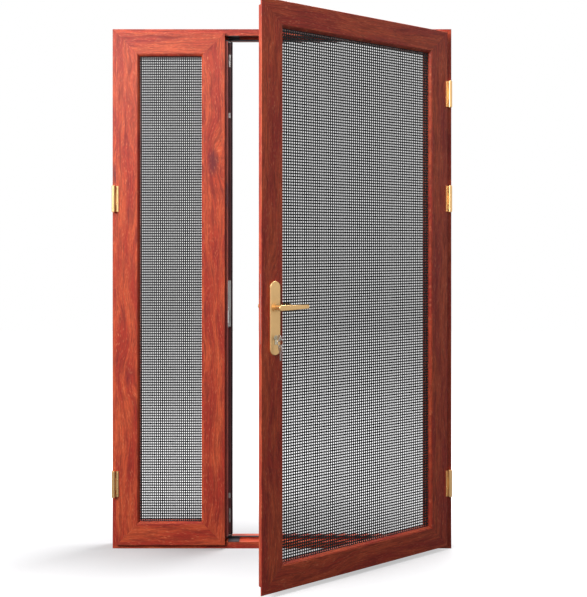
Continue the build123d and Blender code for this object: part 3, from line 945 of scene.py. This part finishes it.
# Half the side of the floor in metres, the two tints of its paint, and the grey that it has for other surfaces
FLOOR_HALF = 9.0
FLOOR_TINTS = ((0.4, 0.4, 0.41), (0.42, 0.42, 0.43))
FLOOR_BOUNCE = (0.08, 0.08, 0.08)
# Middle of the floor's dim patch, its squeeze from left to right, and the floor's share in reflections
PATCH_MIDDLE = (-0.12, -0.06, 0)
PATCH_SQUEEZE = 0.45
FLOOR_REFLECTED = 0.4
# Distances in metres between which the floor's glow rises, and its strength at each
GLOW_REACH = (0.05, 0.85)
GLOW_STRENGTH = (0.18, 1.0)


class DOORSET_OT_studio(bpy.types.Operator):
    """Places the camera, the lamps, the pale floor and the white surroundings"""

    bl_idname = "doorset.studio"
    bl_label = "Studio"

    def execute(self, context):
        settings = context.scene.doorset_studio
        scene = context.scene
        scene.view_settings.view_transform = "Standard"
        camera_data = bpy.data.cameras.new("front_camera")
        camera_data.lens = settings.lens
        camera_data.sensor_width = SENSOR_WIDTH
        camera_data.shift_y = settings.rise
        camera = bpy.data.objects.new("front_camera", camera_data)
        camera.location = settings.eye
        camera.rotation_euler = (math.pi / 2, 0, 0)
        scene.collection.objects.link(camera)
        scene.camera = camera
        self.add_lamp("key_lamp", *KEY_LAMP, settings.key_power)
        self.add_lamp("top_lamp", *TOP_LAMP, settings.top_power)
        self.add_lamp("rear_lamp", *REAR_LAMP, settings.rear_power)
        self.add_floor(scene)
        self.add_sky(scene, settings.sky)
        return {"FINISHED"}

    def add_lamp(self, name, place, target, size, power):
        """Square soft lamp turned towards a point."""
        data = bpy.data.lights.new(name, "AREA")
        data.size = size
        data.energy = power
        lamp = bpy.data.objects.new(name, data)
        lamp.location = place
        aim = Vector(target) - Vector(place)
        lamp.rotation_euler = aim.to_track_quat("-Z", "Y").to_euler()
        bpy.context.scene.collection.objects.link(lamp)

    def add_floor(self, scene):
        """Pale floor that goes white in the picture and keeps the shadow."""
        half = FLOOR_HALF
        corners = [(-half, -half, 0), (half, -half, 0), (half, half, 0), (-half, half, 0)]
        mesh = bpy.data.meshes.new("floor")
        mesh.from_pydata(corners, [], [(0, 1, 2, 3)])
        floor = bpy.data.objects.new("floor", mesh)
        scene.collection.objects.link(floor)
        material, tree, shader = new_material("floor_paint")
        place = tree.nodes.new("ShaderNodeTexCoord").outputs["Object"]
        rays = tree.nodes.new("ShaderNodeLightPath")
        mottle = noise(tree, stretched(tree, place, 3.0, 3.0), 3.0)
        tint = mix_colours(tree, mottle, *FLOOR_TINTS)
        tint = mix_colours(tree, rays.outputs["Is Camera Ray"], FLOOR_BOUNCE, tint)
        tree.links.new(tint, shader.inputs["Base Color"])
        shader.inputs["Roughness"].default_value = 0.9
        shader.inputs["Specular IOR Level"].default_value = 0.0
        reflected = math_node(tree, "MULTIPLY", rays.outputs["Is Glossy Ray"], FLOOR_REFLECTED)
        seen = math_node(tree, "MAXIMUM", rays.outputs["Is Camera Ray"], rays.outputs["Is Transmission Ray"])
        seen = math_node(tree, "MAXIMUM", seen, reflected)
        flattened = stretched(tree, place, PATCH_SQUEEZE, 0.0)
        ends = {0: flattened, 1: PATCH_MIDDLE}
        away = add_node(tree, "ShaderNodeVectorMath", ends, operation="DISTANCE").outputs["Value"]
        glow = spread(tree, away, *GLOW_REACH, *GLOW_STRENGTH)
        shader.inputs["Emission Color"].default_value = (1, 1, 1, 1)
        tree.links.new(math_node(tree, "MULTIPLY", seen, glow), shader.inputs["Emission Strength"])
        mesh.materials.append(material)

    def add_sky(self, scene, strength):
        """White surroundings in the picture and in reflections, with a plain even light on surfaces."""
        world = bpy.data.worlds.new("surroundings")
        scene.world = world
        world.use_nodes = True
        tree = world.node_tree
        tree.nodes.clear()
        rays = tree.nodes.new("ShaderNodeLightPath")
        seen = math_node(tree, "MAXIMUM", rays.outputs["Is Camera Ray"], rays.outputs["Is Glossy Ray"])
        seen = math_node(tree, "MAXIMUM", seen, rays.outputs["Is Transmission Ray"])
        even = add_node(tree, "ShaderNodeBackground", {"Color": (1, 1, 1, 1), "Strength": strength})
        white = add_node(tree, "ShaderNodeBackground", {"Color": (1, 1, 1, 1), "Strength": 1.0})
        both = add_node(tree, "ShaderNodeMixShader", {0: seen, 1: even.outputs[0], 2: white.outputs[0]})
        output = tree.nodes.new("ShaderNodeOutputWorld")
        tree.links.new(both.outputs[0], output.inputs[0])


class DOORSET_PT_sidebar(bpy.types.Panel):
    """Lists the steps that make the door set's looks"""

    bl_label = "Screen Door Set"
    bl_idname = "DOORSET_PT_sidebar"
    bl_space_type = "VIEW_3D"
    bl_region_type = "UI"
    bl_category = "Screen Door"

    def draw(self, context):
        for operator in OPERATORS:
            self.layout.operator(operator.bl_idname)


OPERATORS = (
    DOORSET_OT_studio,
    DOORSET_OT_wood_film,
    DOORSET_OT_fittings,
    DOORSET_OT_screens,
    DOORSET_OT_screws,
)
SETTINGS = {
    "doorset_wood": WoodFilmSettings,
    "doorset_screens": ScreenSettings,
    "doorset_fittings": FittingSettings,
    "doorset_studio": StudioSettings,
}
CLASSES = (*SETTINGS.values(), *OPERATORS, DOORSET_PT_sidebar)


def register():
    for cls in CLASSES:
        bpy.utils.register_class(cls)
    for name, group in SETTINGS.items():
        setattr(bpy.types.Scene, name, PointerProperty(type=group))


def unregister():
    for name in SETTINGS:
        delattr(bpy.types.Scene, name)
    for cls in reversed(CLASSES):
        bpy.utils.unregister_class(cls)


def main():
    register()
    bpy.ops.doorset.studio()
    bpy.ops.doorset.wood_film()
    bpy.ops.doorset.fittings()
    bpy.ops.doorset.screens()
    bpy.ops.doorset.screws()


if __name__ == "__main__":
    main()
